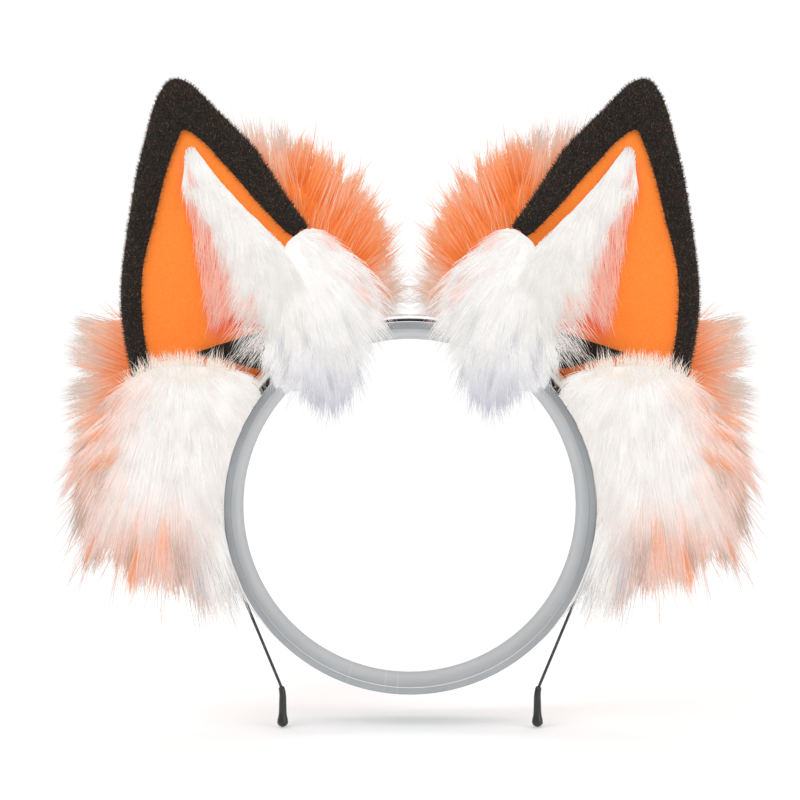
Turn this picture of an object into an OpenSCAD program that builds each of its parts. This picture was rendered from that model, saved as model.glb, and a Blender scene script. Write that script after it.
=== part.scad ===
// Fox-ear headband: a sprung wire band over a clear keeper hoop, with two furry ear units.
// Row frame: X to the wearer's left, Y towards the back, Z up. Origin at the centre of the band's arc.
// The modules draw the ear unit at -X. Its twin at +X is the mirror image.

/* [Band] */
// Radius of the wire band's arc, to the wire's centre
band_r = 67.5; // [60:0.5:75]
// Diameter of the spring wire
wire_d = 1.2; // [1:0.1:1.4]
// Angle below the horizontal at which each leg leaves the arc
leg_angle = 23; // [15:1:30]
// Straight length of each leg
leg_length = 40; // [30:1:50]
// Angle between the middle of the crown and each flex point
flex_angle = 5; // [4:0.5:8]

/* [End caps] */
// Diameter of the rubber cap's sleeve
cap_d = 2.7; // [2.4:0.1:3.2]
// Diameter of the ball at the cap's end
cap_ball_d = 4; // [3.4:0.1:5]

/* [Hoop] */
// Outer radius of the clear keeper hoop
hoop_r = 66; // [58.5:0.5:66]
// Wall thickness of the hoop
hoop_wall = 3; // [2:0.5:4]
// Width of the hoop, front to back
hoop_width = 30; // [20:1:36]
// How far the hoop stands in front of the wire
hoop_front = 3; // [2:0.5:4]

/* [Ear] */
// Polar angle on the band at which each ear is rooted
ear_at = 140; // [136:1:144]
// Lean of the ear away from upright
ear_lean = 16; // [12:1:20]
// Height of the ear from its root to its tip
ear_height = 115; // [105:1:120]
// Radius of the ear's hollow, the larger the flatter
cup_r = 75; // [65:1:90]
// Thickness of the ear's foam core
core_t = 3; // [2:0.5:4]

/* [Hidden] */
$fn = 96;
pad_fn = 20;
fit = 0.05;         // gap between layers of one ear
lining_t = 1.0;
rim_t = 1.0;
wire_r = wire_d / 2;
end_bend_r = 12;    // bend of the wire inside the cap
end_straight = 5;   // wire past that bend
bead_half = 0.25;   // half the length of a weld bead
cap_length = 8.6;   // cap past that bend, to the ball's centre
cup_y = 4;          // depth of the lining at the ear's middle
loop_t = 0.4;       // thickness of the cord loops round the wire
felt_t = 1.5;
seam_r = 71.2;      // distance of the seam's line from the origin
seam_cord_d = 1.2;
clear_r = 74;       // the ear unit keeps outside this radius, so that it can tilt
front_y = -11;      // what hangs in front of the hoop keeps in front of this plane

loop_in = wire_r + 0.2;  // the cord loops run on the wire with this radius
felt_in = band_r + loop_in + loop_t + fit;
root = [70 * cos(ear_at), 70 * sin(ear_at)];
leg_start = band_r * [cos(180 + leg_angle), sin(180 + leg_angle)];
leg_dir = [sin(leg_angle), -cos(leg_angle)];
leg_end = leg_start + leg_length * leg_dir;
bend_centre = leg_end + end_bend_r * [-cos(leg_angle), -sin(leg_angle)];
cap_axis_x = bend_centre[0] + end_bend_r;

// ---- curves -------------------------------------------------------------

function bezier(p, t) =
  pow(1 - t, 3) * p[0] + 3 * t * pow(1 - t, 2) * p[1] + 3 * t * t * (1 - t) * p[2] + pow(t, 3) * p[3];

function curve(p, steps) = [for (i = [0:steps]) bezier(p, i / steps)];

// Outline of the ear, as [across, along] from its root. inset draws it smaller by that width at the sides.
function ear_outline(inset, foot = 0) = let (
    tip = ear_height - 2.2 * inset,
    low = foot - 5
  ) concat(
    curve([[0, tip], [-17 + inset * 0.9, tip * 0.86], [-37 + inset, tip * 0.58], [-41 + inset, 30]], 12),
    curve([[-41 + inset, 24], [-41 + inset, 12], [-30, low], [-12, low]], 6),
    curve([[12, low], [30, low], [41 - inset, 8], [40 - inset, 18]], 6),
    curve([[39 - inset, 24], [33 - inset, 44], [14 - inset * 0.6, tip * 0.80], [0, tip]], 12)
  );

// The window in the rim: narrow at the sides, deep below the tip.
rim_window = concat(
  curve([[-2, ear_height - 18], [-13, ear_height - 34], [-34, 62], [-36.5, 34]], 12),
  [[-37, 24], [-34, -30], [34, -30], [33, 24]],
  curve([[31, 33], [24, 46], [8, ear_height - 34], [-2, ear_height - 18]], 12)
);

// ---- placing ------------------------------------------------------------

// Turns a flat shape to stand in the XZ plane, from y0 to y1.
module upright(y0, y1) {
  translate([0, y1, 0]) rotate([90, 0, 0]) linear_extrude(height = y1 - y0) children();
}

// Turns a solid about Z into one about Y, with angles counted from +X towards +Z.
module about_y() {
  rotate([90, 0, 0]) children();
}

// A bar of round section round part of the band's arc.
module arc_bar(r, from, to) {
  about_y() rotate([0, 0, from]) rotate_extrude(angle = to - from) translate([band_r, 0]) circle(r = r);
}

module drum_y(r, y0, y1) {
  translate([0, y1, 0]) about_y() cylinder(r = r, h = y1 - y0);
}

// A flat shape drawn as [across, along] from the ear's root.
module on_ear() {
  translate(root) rotate(ear_lean) children();
}

// The round bar whose back is the hollow of the ear.
module cup(r) {
  translate([root[0], cup_y - cup_r, root[1]]) rotate([0, -ear_lean, 0])
    translate([0, 0, -60]) cylinder(r = r, h = 240, $fn = 180);
}

// A curved layer of the ear from depth a to depth b behind the lining's face.
module ear_layer(a, b) {
  intersection() {
    upright(-30, 30) on_ear() children();
    difference() {
      cup(cup_r + b);
      cup(cup_r + a);
    }
  }
}

// Everything behind depth a within the ear's full outline.
module behind_ear(a) {
  difference() {
    upright(-40, 60) on_ear() polygon(ear_outline(-0.6, -30));
    cup(cup_r + a);
  }
}

// A rounded mass through a list of [x, z, radius] balls at one depth, thinner by less.
module fur_mass(balls, y, less = 0) {
  hull() for (b = balls)
    translate([b[0], y, b[1]]) sphere(r = b[2] - less, $fn = pad_fn);
}

module twin() {
  mirror([1, 0, 0]) children();
}

// ---- band ---------------------------------------------------------------

module crown_wire() {
  color("dimgray") arc_bar(wire_r, 90 - flex_angle + 0.1, 90 + flex_angle - 0.1);
}

// A weld bead, centred on a seam of the wire and a hair thicker than it.
module bead(r) {
  translate([0, 0, -bead_half]) cylinder(r = r + 0.02, h = 2 * bead_half);
}

// The straight leg, the bend at its end and the straight past it.
module leg_path(r, past) {
  translate([leg_start[0], 0, leg_start[1]]) rotate([0, 180 - leg_angle, 0]) {
    bead(r);
    translate([0, 0, bead_half]) cylinder(r = r, h = leg_length - 2 * bead_half);
    translate([0, 0, leg_length]) bead(r);
  }
  translate([bend_centre[0], 0, bend_centre[1]]) about_y()
    rotate_extrude(angle = leg_angle) translate([end_bend_r, 0]) circle(r = r);
  translate([cap_axis_x, 0, bend_centre[1]]) {
    bead(r);
    translate([0, 0, -past]) cylinder(r = r, h = past - bead_half);
  }
}

module band_wire() {
  color("dimgray") union() {
    arc_bar(wire_r, 90 + flex_angle + 0.1, 180 + leg_angle);
    leg_path(wire_r, end_straight);
  }
}

module tip_cap() {
  color("black") difference() {
    union() {
      translate([bend_centre[0], 0, bend_centre[1]]) about_y()
        rotate_extrude(angle = leg_angle - 2) translate([end_bend_r, 0]) circle(d = cap_d);
      translate([cap_axis_x, 0, bend_centre[1] - cap_length]) cylinder(d = cap_d, h = cap_length);
      translate([cap_axis_x, 0, bend_centre[1] - cap_length]) sphere(d = cap_ball_d);
    }
    leg_path(wire_r, end_straight);
  }
}

module hoop() {
  color([0.62, 0.65, 0.67, 0.8]) difference() {
    drum_y(hoop_r, -hoop_front, hoop_width - hoop_front);
    drum_y(hoop_r - hoop_wall, -hoop_front - 1, hoop_width - hoop_front + 1);
  }
}

// Short overlap plate that closes the hoop, outside it at the bottom.
module hoop_splice() {
  color([0.62, 0.65, 0.67, 0.8]) about_y() translate([0, 0, hoop_front - hoop_width + 1])
    rotate([0, 0, -110]) rotate_extrude(angle = 16)
      translate([hoop_r, 0]) square([0.5, hoop_width - 2]);
}

// ---- what slides on the band -------------------------------------------

module felt_strip() {
  color("gainsboro") about_y() translate([0, 0, -9]) rotate([0, 0, 104])
    rotate_extrude(angle = 88) translate([felt_in, 0]) square([felt_t, 14]);
}

module wire_loops() {
  color("black") for (at = [106, 150, 186])
    difference() {
      arc_bar(loop_in + loop_t, at, at + 4);
      arc_bar(loop_in, at - 1, at + 5);
    }
}

module seam_cord() {
  color("white") translate([seam_r * cos(ear_at), 0, seam_r * sin(ear_at)])
    rotate([0, 90 - ear_at, 0]) rotate([0, 90, 0]) cylinder(d = seam_cord_d, h = 30, center = true);
}

// ---- ear ----------------------------------------------------------------

module ear_foot() {
  drum_y(clear_r, -60, 60);
}

module ear_lining() {
  color("darkorange") difference() {
    ear_layer(0, lining_t) polygon(ear_outline(1.2));
    ear_foot();
  }
}

module armature_shape() {
  difference() {
    polygon(ear_outline(4));
    polygon(ear_outline(5.2, 1.2));
  }
}

module ear_core() {
  color("white") difference() {
    ear_layer(lining_t + fit, lining_t + core_t) polygon(ear_outline(1.2));
    ear_layer(lining_t + 0.8, lining_t + 2.1) armature_shape();
    ear_foot();
  }
}

module ear_armature() {
  color("silver") difference() {
    ear_layer(lining_t + 0.85, lining_t + 2.05) armature_shape();
    ear_foot();
  }
}

module ear_back() {
  color("black") difference() {
    ear_layer(lining_t + core_t + fit, lining_t + core_t + 1.2) polygon(ear_outline(0.6));
    ear_foot();
  }
}

module ear_rim() {
  color("black") difference() {
    ear_layer(-rim_t, -fit) difference() {
      polygon(ear_outline(0.6));
      polygon(rim_window);
    }
    ear_foot();
  }
}

module ear_spot() {
  color("black") difference() {
    ear_layer(-rim_t, -fit) polygon([[-20, 17], [-16, 18], [1, 20], [4, 6], [-5, 9], [-16, 14.5]]);
    ear_foot();
  }
}

module ear_tuft() {
  color("white") difference() {
    ear_layer(-7, -rim_t - 0.3) polygon(concat(
      curve([[-1, 94], [-9, 78], [-14, 60], [-9, 36]], 8),
      [[-2, 8], [26, 8], [27, 36]],
      curve([[26, 40], [20, 50], [8, 74], [-1, 94]], 8)
    ));
    ear_foot();
  }
}

// Balls of each fur mass, as [x, z, radius].
cheek_balls = [
  [-90, 35, 10], [-98, 22, 12], [-99, 4, 12], [-92, -14, 11], [-82, -24, 8], [-74, 33, 9], [-78, 16, 12]
];
crown_balls = [
  [-36, 87, 9], [-27, 81, 9], [-22, 70, 7], [-30, 62, 11], [-40, 62, 9], [-31, 47, 7], [-42, 44, 7]
];
back_balls = [
  [-95, 6, 13], [-105, 30, 13], [-104, 52, 14], [-84, 88, 14],
  [-66, 110, 15], [-48, 112, 14], [-32, 98, 14], [-28, 82, 12]
];
cheek_y = -13;
crown_y = -20;
back_y = 20;
skin_t = 2.2; // thickness of the fur's skin over its filling

module cheek_shape(less = 0) {
  difference() {
    fur_mass(cheek_balls, cheek_y, less);
    drum_y(clear_r + less, -60, 60);
    behind_ear(-1.6 - less);
    translate([-150, 1 - less, -60]) cube([150, 60, 200]);
  }
}

module crown_shape(less = 0) {
  difference() {
    fur_mass(crown_balls, crown_y, less);
    drum_y(clear_r + less, front_y - less, 60);
    behind_ear(-7.5 - less);
  }
}

module back_shape(less = 0) {
  difference() {
    fur_mass(back_balls, back_y, less);
    drum_y(clear_r + less, -60, 60);
    translate([-160, -60, -60]) cube([160, 65 + less, 260]);
    cup(cup_r + lining_t + core_t + 1.6 + less);
  }
}

module cheek_fur() {
  color("snow") difference() {
    cheek_shape();
    cheek_shape(skin_t);
  }
}

module cheek_stuffing() {
  color("white") cheek_shape(skin_t + fit);
}

module crown_fur() {
  color("snow") difference() {
    crown_shape();
    crown_shape(skin_t);
  }
}

module crown_stuffing() {
  color("white") crown_shape(skin_t + fit);
}

module back_fur() {
  color("darkorange") difference() {
    back_shape();
    back_shape(skin_t);
  }
}

module back_stuffing() {
  color("white") back_shape(skin_t + fit);
}

// ---- the whole ----------------------------------------------------------

crown_wire();
hoop();
hoop_splice();
band_wire();  // band_wire_left
twin() band_wire();  // band_wire_right
tip_cap();  // tip_cap_left
twin() tip_cap();  // tip_cap_right
felt_strip();  // felt_strip_left
twin() felt_strip();  // felt_strip_right
wire_loops();  // wire_loops_left
twin() wire_loops();  // wire_loops_right
seam_cord();  // seam_cord_left
twin() seam_cord();  // seam_cord_right
ear_lining();  // ear_lining_left
twin() ear_lining();  // ear_lining_right
ear_core();  // ear_core_left
twin() ear_core();  // ear_core_right
ear_armature();  // ear_armature_left
twin() ear_armature();  // ear_armature_right
ear_back();  // ear_back_left
twin() ear_back();  // ear_back_right
ear_rim();  // ear_rim_left
twin() ear_rim();  // ear_rim_right
ear_spot();  // ear_spot_left
twin() ear_spot();  // ear_spot_right
ear_tuft();  // ear_tuft_left
twin() ear_tuft();  // ear_tuft_right
cheek_fur();  // cheek_fur_left
twin() cheek_fur();  // cheek_fur_right
cheek_stuffing();  // cheek_stuffing_left
twin() cheek_stuffing();  // cheek_stuffing_right
crown_fur();  // crown_fur_left
twin() crown_fur();  // crown_fur_right
crown_stuffing();  // crown_stuffing_left
twin() crown_stuffing();  // crown_stuffing_right
back_fur();  // back_fur_left
twin() back_fur();  // back_fur_right
back_stuffing();  // back_stuffing_left
twin() back_stuffing();  // back_stuffing_right
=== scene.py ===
# Animal ears headband: the looks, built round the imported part.
# Left is at -X. Each ear unit is made on the left and mirrored to the right. Sizes are in mm until a mesh is made.
import math

import bpy
import numpy as np
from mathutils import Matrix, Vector
from mathutils.kdtree import KDTree


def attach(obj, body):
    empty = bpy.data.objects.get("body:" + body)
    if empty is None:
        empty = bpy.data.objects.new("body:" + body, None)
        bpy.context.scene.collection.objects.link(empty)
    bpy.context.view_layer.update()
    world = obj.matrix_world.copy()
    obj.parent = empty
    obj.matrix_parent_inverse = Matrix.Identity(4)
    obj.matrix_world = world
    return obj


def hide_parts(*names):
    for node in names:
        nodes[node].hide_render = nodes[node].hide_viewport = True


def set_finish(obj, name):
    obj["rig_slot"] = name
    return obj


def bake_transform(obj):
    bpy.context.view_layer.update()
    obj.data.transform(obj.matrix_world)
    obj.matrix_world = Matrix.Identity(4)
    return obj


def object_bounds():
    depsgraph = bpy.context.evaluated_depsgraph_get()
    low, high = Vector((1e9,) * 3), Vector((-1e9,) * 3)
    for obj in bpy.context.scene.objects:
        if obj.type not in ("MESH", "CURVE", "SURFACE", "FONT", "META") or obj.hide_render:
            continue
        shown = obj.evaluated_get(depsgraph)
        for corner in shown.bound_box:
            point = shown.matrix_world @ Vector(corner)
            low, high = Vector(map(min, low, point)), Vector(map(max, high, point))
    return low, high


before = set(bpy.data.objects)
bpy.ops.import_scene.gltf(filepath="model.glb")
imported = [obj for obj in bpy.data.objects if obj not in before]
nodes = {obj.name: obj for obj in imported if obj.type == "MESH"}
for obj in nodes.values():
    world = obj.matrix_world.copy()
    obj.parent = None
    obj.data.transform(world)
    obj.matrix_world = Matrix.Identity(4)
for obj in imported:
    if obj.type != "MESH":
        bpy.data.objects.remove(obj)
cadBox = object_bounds()
mm = 0.001
print("frame loaded:", len(nodes), "nodes")


# Sums used by several pieces

def shade(red, green, blue):  # a screen colour as Blender's linear one
    return np.array([c / 3294.6 if c < 11 else ((c / 255 + 0.055) / 1.055) ** 2.4 for c in (red, green, blue)])


def unit(v):
    return v / np.maximum(np.linalg.norm(v, axis=-1, keepdims=True), 1e-9)


def ease(low, high, value):  # 0 below low, 1 above high, soft between
    t = np.clip((value - low) / (high - low), 0, 1)
    return t * t * (3 - 2 * t)


def smoothLine(points, count):  # even points on a soft curve through the given ones
    p = np.array(points, float)
    p = np.vstack([2 * p[0] - p[1], p, 2 * p[-1] - p[-2]])
    t = np.linspace(0, 1, 24, endpoint=False)[:, None]
    fine = []
    for i in range(1, len(p) - 2):
        a, b, c, d = p[i - 1:i + 3]
        fine.append(0.5 * (2 * b + (c - a) * t + (2 * a - 5 * b + 4 * c - d) * t**2 + (3 * b - a - 3 * c + d) * t**3))
    fine = np.vstack(fine + [p[-2:-1]])
    run = np.concatenate([[0], np.cumsum(np.linalg.norm(np.diff(fine, axis=0), axis=1))])
    at = np.linspace(0, run[-1], count)
    return np.stack([np.interp(at, run, fine[:, k]) for k in range(p.shape[1])], axis=1)


def alongLine(line, t):  # points at the shares t of an even line
    at = np.asarray(t) * (len(line) - 1)
    return np.stack([np.interp(at, np.arange(len(line)), line[:, k]) for k in range(line.shape[1])], axis=-1)


def hemOf(p):  # distance below the slanting upper edge of the crown's coat
    return -0.771 * (p[..., 0] + 38.5) - 0.637 * (p[..., -1] - 100.4)


# Blender helpers

def deselect():
    bpy.ops.object.select_all(action="DESELECT")


def pick(piece):
    deselect()
    piece.select_set(True)
    bpy.context.view_layer.objects.active = piece


def finishWith(piece, kind, **settings):
    modifier = piece.modifiers.new(kind.title(), kind)
    for key, value in settings.items():
        setattr(modifier, key, value)
    pick(piece)
    bpy.ops.object.modifier_apply(modifier=modifier.name)


def readPoints(piece):
    co = np.empty(len(piece.data.vertices) * 3)
    piece.data.vertices.foreach_get("co", co)
    return co.reshape(-1, 3)


def writePoints(piece, points):
    piece.data.vertices.foreach_set("co", np.ascontiguousarray(points, float).ravel())
    piece.data.update()


def mergeAndTurnOut(piece, distance=0.00001):
    pick(piece)
    bpy.ops.object.mode_set(mode="EDIT")
    bpy.ops.mesh.select_all(action="SELECT")
    bpy.ops.mesh.remove_doubles(threshold=distance)
    bpy.ops.mesh.normals_make_consistent(inside=False)
    bpy.ops.object.mode_set(mode="OBJECT")


def smoothShade(piece):
    pick(piece)
    bpy.ops.object.shade_smooth()


def cover(piece, material):
    piece.data.materials.clear()
    piece.data.materials.append(material)


def dress(piece, material, slot):
    cover(piece, material)
    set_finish(piece, slot)


def addSheet(name, columns, rows, place):  # a grid whose (0..1, 0..1) is laid out by place
    deselect()
    bpy.ops.mesh.primitive_grid_add(x_subdivisions=columns, y_subdivisions=rows, size=2, location=(0, 0, 0))
    piece = bpy.context.object
    piece.name = name
    co = readPoints(piece)
    writePoints(piece, place((co[:, 0] + 1) / 2, (co[:, 1] + 1) / 2))
    return piece


def addCopy(piece, name):
    twin = bpy.data.objects.new(name, piece.data.copy())
    bpy.context.scene.collection.objects.link(twin)
    return twin


def finishSheet(sheet, thickness, offset, material, slot):  # gives a sheet its wall and its cloth
    finishWith(sheet, "SOLIDIFY", thickness=thickness * mm, offset=offset, use_even_offset=False)
    mergeAndTurnOut(sheet)
    smoothShade(sheet)
    dress(sheet, material, slot)


def mirrored(piece, name):
    twin = addCopy(piece, name)
    co = readPoints(twin)
    co[:, 0] *= -1
    writePoints(twin, co)
    twin.data.flip_normals()
    twin.data.update()
    return twin


# Shared shader effects

def newGroup(name, inputs, outputs):
    group = bpy.data.node_groups.new(name, "ShaderNodeTree")
    for label, kind, value in inputs:
        group.interface.new_socket(label, in_out="INPUT", socket_type=kind).default_value = value
    for label, kind in outputs:
        group.interface.new_socket(label, in_out="OUTPUT", socket_type=kind)
    return group, group.nodes.new("NodeGroupInput"), group.nodes.new("NodeGroupOutput")


def addNode(tree, kind, inputs=None, **settings):
    node = tree.nodes.new(kind)
    for key, value in settings.items():
        setattr(node, key, value)
    for label, value in (inputs or {}).items():
        node.inputs[label].default_value = value
    return node


def join(tree, *links):  # each link: a node, its output, the next node, its input
    for source, output, target, socket in links:
        tree.links.new(source.outputs[output], target.inputs[socket])


def makeSpeckleGroup():  # fine grain of short pile, felt or foam: a tinted colour and a height
    group, start, end = newGroup(
        "pileSpeckle",
        [("Color", "NodeSocketColor", (1, 1, 1, 1)), ("Fleck", "NodeSocketColor", (1, 1, 1, 1)),
         ("Scale", "NodeSocketFloat", 900.0), ("Amount", "NodeSocketFloat", 0.5), ("Patch", "NodeSocketFloat", 0.15)],
        [("Color", "NodeSocketColor"), ("Height", "NodeSocketFloat")],
    )
    place = addNode(group, "ShaderNodeTexCoord")
    grain = addNode(group, "ShaderNodeTexNoise", {"Detail": 3})
    patch = addNode(group, "ShaderNodeTexNoise", {"Scale": 70})
    ramp = addNode(group, "ShaderNodeMapRange", {"From Min": 0.45, "From Max": 0.72})
    strength = addNode(group, "ShaderNodeMath", operation="MULTIPLY")
    fleck = addNode(group, "ShaderNodeMix", data_type="RGBA")
    dim = addNode(group, "ShaderNodeMapRange", {"From Min": 0.3, "From Max": 0.7, "To Min": 1.0})
    lowest = addNode(group, "ShaderNodeMath", {0: 1}, operation="SUBTRACT")
    tone = addNode(group, "ShaderNodeVectorMath", operation="SCALE")
    join(group,
         (place, "Object", grain, "Vector"), (place, "Object", patch, "Vector"), (start, "Scale", grain, "Scale"),
         (grain, "Fac", ramp, "Value"), (ramp, "Result", strength, 0), (start, "Amount", strength, 1),
         (strength, "Value", fleck, "Factor"), (start, "Color", fleck, "A"), (start, "Fleck", fleck, "B"),
         (patch, "Fac", dim, "Value"), (start, "Patch", lowest, 1), (lowest, "Value", dim, "To Max"),
         (fleck, "Result", tone, 0), (dim, "Result", tone, "Scale"), (tone, "Vector", end, "Color"),
         (grain, "Fac", end, "Height"))
    return group


def makeFibreGroup():  # the tint stored on each hair, a little uneven over the coat; Body is that tint dimmed by Depth to leave room for the painted glow
    group, start, end = newGroup(
        "fibreTone",
        [("Uneven", "NodeSocketFloat", 0.12), ("Scale", "NodeSocketFloat", 160.0), ("Depth", "NodeSocketFloat", 0.6)],
        [("Color", "NodeSocketColor"), ("Body", "NodeSocketColor")],
    )
    tint = addNode(group, "ShaderNodeAttribute", attribute_name="hairTint")
    place = addNode(group, "ShaderNodeTexCoord")
    cloud = addNode(group, "ShaderNodeTexNoise", {"Detail": 4})
    spread = addNode(group, "ShaderNodeMapRange", {"From Min": 0.3, "From Max": 0.7, "To Max": 1.0})
    lowest = addNode(group, "ShaderNodeMath", {0: 1}, operation="SUBTRACT")
    tone = addNode(group, "ShaderNodeVectorMath", operation="SCALE")
    body = addNode(group, "ShaderNodeVectorMath", operation="SCALE")
    join(group,
         (place, "Object", cloud, "Vector"), (start, "Scale", cloud, "Scale"), (cloud, "Fac", spread, "Value"),
         (start, "Uneven", lowest, 1), (lowest, "Value", spread, "To Min"), (tint, "Color", tone, 0),
         (spread, "Result", tone, "Scale"), (tone, "Vector", end, "Color"), (tone, "Vector", body, 0),
         (start, "Depth", body, "Scale"), (body, "Vector", end, "Body"))
    return group


speckleGroup = makeSpeckleGroup()
fibreGroup = makeFibreGroup()


def newMaterial(name, roughness, **sockets):
    material = bpy.data.materials.new(name)
    material.use_nodes = True
    surface = material.node_tree.nodes["Principled BSDF"]
    surface.inputs["Roughness"].default_value = roughness
    for label, value in sockets.items():
        surface.inputs[label.replace("_", " ")].default_value = value
    return material, material.node_tree, surface


def pileMaterial(name, colour, fleck, scale, amount, patch, bump, roughness=0.9, painted=False, **sockets):
    material, tree, surface = newMaterial(name, roughness, **sockets)
    speckle = addNode(tree, "ShaderNodeGroup", {"Color": (*colour, 1), "Fleck": (*fleck, 1), "Scale": scale,
                                                "Amount": amount, "Patch": patch}, node_tree=speckleGroup)
    if painted:  # the colour comes from the tint stored on the mesh
        join(tree, (addNode(tree, "ShaderNodeAttribute", attribute_name="hairTint"), "Color", speckle, "Color"))
    raised = addNode(tree, "ShaderNodeBump", {"Strength": bump, "Distance": 0.0004})
    join(tree, (speckle, "Color", surface, "Base Color"), (speckle, "Height", raised, "Height"),
         (raised, "Normal", surface, "Normal"))
    return material


def hairMaterial(name, roughness, uneven, paintedGlow):  # the glow is painted light: the hair glows in its own tint, standing in for light passed from hair to hair
    material, tree, surface = newMaterial(name, roughness, Emission_Strength=paintedGlow)
    fibre = addNode(tree, "ShaderNodeGroup", {"Uneven": uneven, "Depth": 1 - 0.85 * paintedGlow}, node_tree=fibreGroup)
    join(tree, (fibre, "Body", surface, "Base Color"), (fibre, "Color", surface, "Emission Color"))
    return material


orangePlush = pileMaterial("orangePlush", shade(255, 132, 36), shade(255, 158, 76), 1400, 0.4, 0.06, 0.25,
                           painted=True, Sheen_Weight=0.25, Sheen_Roughness=0.5)
blackPlush = pileMaterial("blackPlush", shade(15, 11, 9), shade(66, 50, 38), 1500, 0.6, 0.3, 0.5,
                          Sheen_Weight=0.02)
blackPile = hairMaterial("blackPile", 0.6, 0.3, 0.0)
# painted light: the long hair and the pads under it glow, so the shade between hairs stays pale
longHair = hairMaterial("longHair", 0.62, 0.06, 0.48)
coatBase = hairMaterial("coatBase", 0.95, 0.14, 0.42)
feltWool = pileMaterial("feltWool", shade(226, 222, 216), shade(248, 246, 240), 800, 0.7, 0.15, 0.6)
foamCell = pileMaterial("foamCell", shade(232, 229, 220), shade(205, 200, 188), 1100, 0.8, 0.08, 0.6)
sewingCord = pileMaterial("sewingCord", shade(226, 224, 220), shade(250, 250, 248), 2200, 0.6, 0.1, 0.5)
rubberSkin = pileMaterial("rubberSkin", shade(10, 10, 11), shade(22, 22, 24), 700, 0.4, 0.2, 0.06, roughness=0.3,
                          Coat_Weight=0.4, Coat_Roughness=0.15)
wireCoat = pileMaterial("wireCoat", shade(66, 68, 72), shade(104, 107, 112), 900, 0.35, 0.25, 0.08, roughness=0.35,
                        Metallic=0.6)
drawnSteel = pileMaterial("drawnSteel", shade(176, 176, 178), shade(210, 210, 212), 1200, 0.4, 0.1, 0.1,
                          roughness=0.3, Metallic=1.0)


# front and inner are painted light and shade: the front face is painted lighter and the inner wall darker, to even
# out the light that falls on them; the two lip tones are a painted shade at the top and a painted highlight at the
# foot
hoopLook = {
    "front": shade(160, 165, 169), "inner": shade(128, 132, 136), "lapLine": shade(196, 202, 206),
    "lapStrength": 0.16, "lapAt": (-110, -98, -94), "lipShadeTop": shade(104, 108, 112), "lipHighlightFoot": shade(214, 219, 221),
}


def makeHoopMaterial(look):  # milky plastic, with the faint edges of the lap across its inner wall, painted light and shade that make the front face lighter than the inner wall, and a painted shade and painted highlight along the lip
    material, tree, surface = newMaterial(
        "milkyPlastic", 0.28, Coat_Weight=0.35, Coat_Roughness=0.12, IOR=1.49, Subsurface_Weight=0.2,
        Subsurface_Radius=(0.003, 0.003, 0.003))
    front, inner, lapTone, lipShadeTop, lipHighlightFoot = (
        (*look[k], 1) for k in ("front", "inner", "lapLine", "lipShadeTop", "lipHighlightFoot"))
    place = addNode(tree, "ShaderNodeTexCoord")
    split = addNode(tree, "ShaderNodeSeparateXYZ")
    # painted light and shade: the mix by depth paints the front face lighter than the inner wall
    depth = addNode(tree, "ShaderNodeMapRange", {"From Min": -0.0025, "From Max": -0.0018})
    face = addNode(tree, "ShaderNodeMix", {"A": front, "B": inner}, data_type="RGBA")
    speckle = addNode(tree, "ShaderNodeGroup", {"Fleck": front, "Scale": 60, "Amount": 0.4, "Patch": 0.08},
                      node_tree=speckleGroup)
    turn = addNode(tree, "ShaderNodeMath", operation="ARCTAN2")
    join(tree, (place, "Object", split, "Vector"), (split, "Y", depth, "Value"), (depth, "Result", face, "Factor"),
         (face, "Result", speckle, "Color"), (split, "Z", turn, 0), (split, "X", turn, 1))
    laps = []
    for degrees in look["lapAt"]:
        near = addNode(tree, "ShaderNodeMath", {1: math.radians(degrees), 2: 0.005}, operation="COMPARE")
        join(tree, (turn, "Value", near, 0))
        if laps:
            either = addNode(tree, "ShaderNodeMath", operation="MAXIMUM")
            join(tree, (laps[-1], "Value", either, 0), (near, "Value", either, 1))
        laps.append(either if laps else near)
    soften = addNode(tree, "ShaderNodeMath", {1: look["lapStrength"]}, operation="MULTIPLY")
    line = addNode(tree, "ShaderNodeMix", {"B": lapTone}, data_type="RGBA")
    # painted shade and painted highlight: the lip's edge is painted dark at the top and bright at the foot, as light
    # falls on its bevel
    edge = addNode(tree, "ShaderNodeMath", {1: -0.0021, 2: 0.0005}, operation="COMPARE")
    height = addNode(tree, "ShaderNodeMapRange", {"From Min": -0.02, "From Max": -0.056})
    ring = addNode(tree, "ShaderNodeMix", {"A": lipShadeTop, "B": lipHighlightFoot}, data_type="RGBA")
    rimmed = addNode(tree, "ShaderNodeMix", data_type="RGBA")
    join(tree, (laps[-1], "Value", soften, 0), (soften, "Value", line, "Factor"), (speckle, "Color", line, "A"),
         (split, "Y", edge, 0), (split, "Z", height, "Value"), (height, "Result", ring, "Factor"),
         (edge, "Value", rimmed, "Factor"), (line, "Result", rimmed, "A"), (ring, "Result", rimmed, "B"),
         (rimmed, "Result", surface, "Base Color"))
    return material


milkyPlastic = makeHoopMaterial(hoopLook)
print("materials made")


# The ear's own surface: across and along its face, and depth behind the lining's front

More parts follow.
